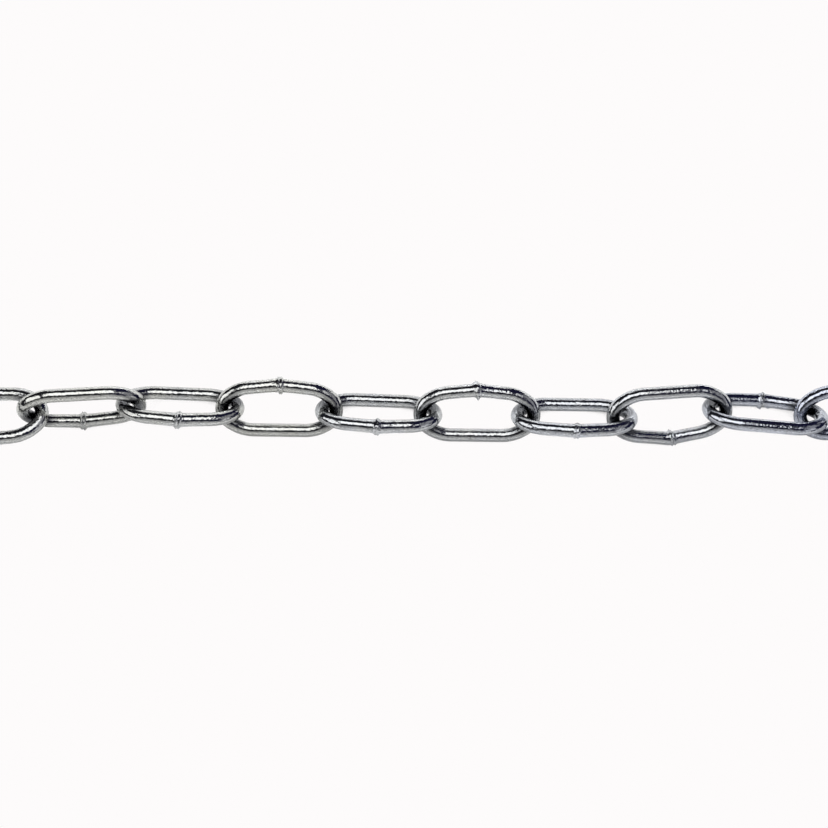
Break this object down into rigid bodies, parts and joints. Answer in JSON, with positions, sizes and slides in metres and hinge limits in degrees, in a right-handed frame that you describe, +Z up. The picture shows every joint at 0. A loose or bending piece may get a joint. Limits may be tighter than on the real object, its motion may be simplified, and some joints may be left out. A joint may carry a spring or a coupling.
{
  "type": "length of welded steel chain",
  "caption": "Straight length of plated long-link steel chain with welded round-wire links that turn on one another.",
  "frame": {"origin": "centre of the laid chain's box, on the floor that it lies on", "axes": "+X along the chain, +Y across it on the floor, +Z up"},
  "size_m": [0.9676, 0.027, 0.0213],
  "materials": {
    "plated_steel": "bright zinc plating over drawn steel wire"
  },
  "bodies": {
    "link_01": {"link_01": "plated_steel"},
    "link_02": {"link_02": "plated_steel"},
    "link_03": {"link_03": "plated_steel"},
    "link_04": {"link_04": "plated_steel"},
    "link_05": {"link_05": "plated_steel"},
    "link_06": {"link_06": "plated_steel"},
    "link_07": {"link_07": "plated_steel"},
    "link_08": {"link_08": "plated_steel"},
    "link_09": {"link_09": "plated_steel"},
    "link_10": {"link_10": "plated_steel"},
    "link_11": {"link_11": "plated_steel"},
    "link_12": {"link_12": "plated_steel"},
    "link_13": {"link_13": "plated_steel"},
    "link_14": {"link_14": "plated_steel"},
    "link_15": {"link_15": "plated_steel"},
    "link_16": {"link_16": "plated_steel"},
    "link_17": {"link_17": "plated_steel"},
    "link_18": {"link_18": "plated_steel"},
    "link_19": {"link_19": "plated_steel"},
    "link_20": {"link_20": "plated_steel"},
    "link_21": {"link_21": "plated_steel"},
    "link_22": {"link_22": "plated_steel"},
    "link_23": {"link_23": "plated_steel"},
    "link_24": {"link_24": "plated_steel"},
    "link_25": {"link_25": "plated_steel"},
    "link_26": {"link_26": "plated_steel"},
    "link_27": {"link_27": "plated_steel"},
    "link_28": {"link_28": "plated_steel"},
    "link_29": {"link_29": "plated_steel"}
  },
  "joints": [
    {"name": "turn_02", "type": "hinge", "parent": "link_01", "child": "link_02", "pos_m": [-0.44286, -0.00197, 0.00723], "axis": [-0.0128, 0.6427, 0.766], "range_deg": [-90, 90]},
    {"name": "turn_03", "type": "hinge", "parent": "link_02", "child": "link_03", "pos_m": [-0.40956, -0.00131, 0.00724], "axis": [0.0039, -0.6428, 0.766], "range_deg": [-90, 90]},
    {"name": "turn_04", "type": "hinge", "parent": "link_03", "child": "link_04", "pos_m": [-0.37626, -0.00114, 0.00721], "axis": [-0.0063, -0.6428, -0.766], "range_deg": [-90, 90]},
    {"name": "turn_05", "type": "hinge", "parent": "link_04", "child": "link_05", "pos_m": [-0.34296, -0.00151, 0.00725], "axis": [0.0143, 0.6426, -0.766], "range_deg": [-90, 90]},
    {"name": "turn_06", "type": "hinge", "parent": "link_05", "child": "link_06", "pos_m": [-0.30968, -0.0019, 0.00755], "axis": [0, 0.6428, 0.766], "range_deg": [-90, 90]},
    {"name": "turn_07", "type": "hinge", "parent": "link_06", "child": "link_07", "pos_m": [-0.27703, -0.00344, 0.00885], "axis": [-0.0148, -0.707, 0.7071], "range_deg": [-90, 90]},
    {"name": "turn_08", "type": "hinge", "parent": "link_07", "child": "link_08", "pos_m": [-0.24386, -0.00403, 0.00895], "axis": [-0.0085, -0.4847, -0.8746], "range_deg": [-90, 90]},
    {"name": "turn_09", "type": "hinge", "parent": "link_08", "child": "link_09", "pos_m": [-0.21056, -0.00459, 0.00894], "axis": [-0.0302, 0.9428, -0.332], "range_deg": [-90, 90]},
    {"name": "turn_10", "type": "hinge", "parent": "link_09", "child": "link_10", "pos_m": [-0.17753, -0.00338, 0.00937], "axis": [-0.0432, 0.0977, 0.9943], "range_deg": [-90, 90]},
    {"name": "turn_11", "type": "hinge", "parent": "link_10", "child": "link_11", "pos_m": [-0.14529, -0.00074, 0.01052], "axis": [0.0799, -0.9627, 0.2586], "range_deg": [-90, 90]},
    {"name": "turn_12", "type": "hinge", "parent": "link_11", "child": "link_12", "pos_m": [-0.11285, 0.00181, 0.00999], "axis": [-0.0645, -0.6458, -0.7608], "range_deg": [-90, 90]},
    {"name": "turn_13", "type": "hinge", "parent": "link_12", "child": "link_13", "pos_m": [-0.08032, 0.00157, 0.00744], "axis": [0.0091, 0.6494, -0.7604], "range_deg": [-90, 90]},
    {"name": "turn_14", "type": "hinge", "parent": "link_13", "child": "link_14", "pos_m": [-0.04717, 0.00065, 0.00704], "axis": [0.0236, 0.6424, 0.766], "range_deg": [-90, 90]},
    {"name": "turn_15", "type": "hinge", "parent": "link_14", "child": "link_15", "pos_m": [-0.01367, -0.00056, 0.00703], "axis": [-0.0079, -0.6427, 0.766], "range_deg": [-90, 90]},
    {"name": "turn_16", "type": "hinge", "parent": "link_15", "child": "link_16", "pos_m": [0.01953, -0.00101, 0.007], "axis": [-0.0101, -0.6427, -0.766], "range_deg": [-90, 90]},
    {"name": "turn_17", "type": "hinge", "parent": "link_16", "child": "link_17", "pos_m": [0.05239, -0.00239, 0.00773], "axis": [-0.0448, 0.6412, -0.766], "range_deg": [-90, 90]},
    {"name": "turn_18", "type": "hinge", "parent": "link_17", "child": "link_18", "pos_m": [0.0846, 0.00046, 0.00823], "axis": [0.056, 0.6403, 0.766], "range_deg": [-90, 90]},
    {"name": "turn_19", "type": "hinge", "parent": "link_18", "child": "link_19", "pos_m": [0.11688, -0.0007, 0.00684], "axis": [0.0583, -0.6401, 0.766], "range_deg": [-90, 90]},
    {"name": "turn_20", "type": "hinge", "parent": "link_19", "child": "link_20", "pos_m": [0.14847, 0.00249, 0.0071], "axis": [0.0168, -0.6426, -0.766], "range_deg": [-90, 90]},
    {"name": "turn_21", "type": "hinge", "parent": "link_20", "child": "link_21", "pos_m": [0.18164, 0.00322, 0.00722], "axis": [-0.0143, 0.6426, -0.766], "range_deg": [-90, 90]},
    {"name": "turn_22", "type": "hinge", "parent": "link_21", "child": "link_22", "pos_m": [0.21494, 0.00397, 0.00722], "axis": [-0.0063, 0.6428, 0.766], "range_deg": [-90, 90]},
    {"name": "turn_23", "type": "hinge", "parent": "link_22", "child": "link_23", "pos_m": [0.24824, 0.00427, 0.00725], "axis": [-0.0039, -0.6428, 0.766], "range_deg": [-90, 90]},
    {"name": "turn_24", "type": "hinge", "parent": "link_23", "child": "link_24", "pos_m": [0.28154, 0.00402, 0.00721], "axis": [-0.0128, -0.6427, -0.766], "range_deg": [-90, 90]},
    {"name": "turn_25", "type": "hinge", "parent": "link_24", "child": "link_25", "pos_m": [0.31484, 0.00331, 0.00725], "axis": [0.0172, 0.6426, -0.766], "range_deg": [-90, 90]},
    {"name": "turn_26", "type": "hinge", "parent": "link_25", "child": "link_26", "pos_m": [0.34814, 0.00239, 0.00722], "axis": [0.0156, 0.6426, 0.766], "range_deg": [-90, 90]},
    {"name": "turn_27", "type": "hinge", "parent": "link_26", "child": "link_27", "pos_m": [0.38144, 0.00158, 0.00723], "axis": [-0.0085, -0.6427, 0.766], "range_deg": [-90, 90]},
    {"name": "turn_28", "type": "hinge", "parent": "link_27", "child": "link_28", "pos_m": [0.41474, 0.00116, 0.00725], "axis": [0.0015, -0.6428, -0.766], "range_deg": [-90, 90]},
    {"name": "turn_29", "type": "hinge", "parent": "link_28", "child": "link_29", "pos_m": [0.44804, 0.00128, 0.00721], "axis": [-0.011, 0.6427, -0.766], "range_deg": [-90, 90]}
  ]
}
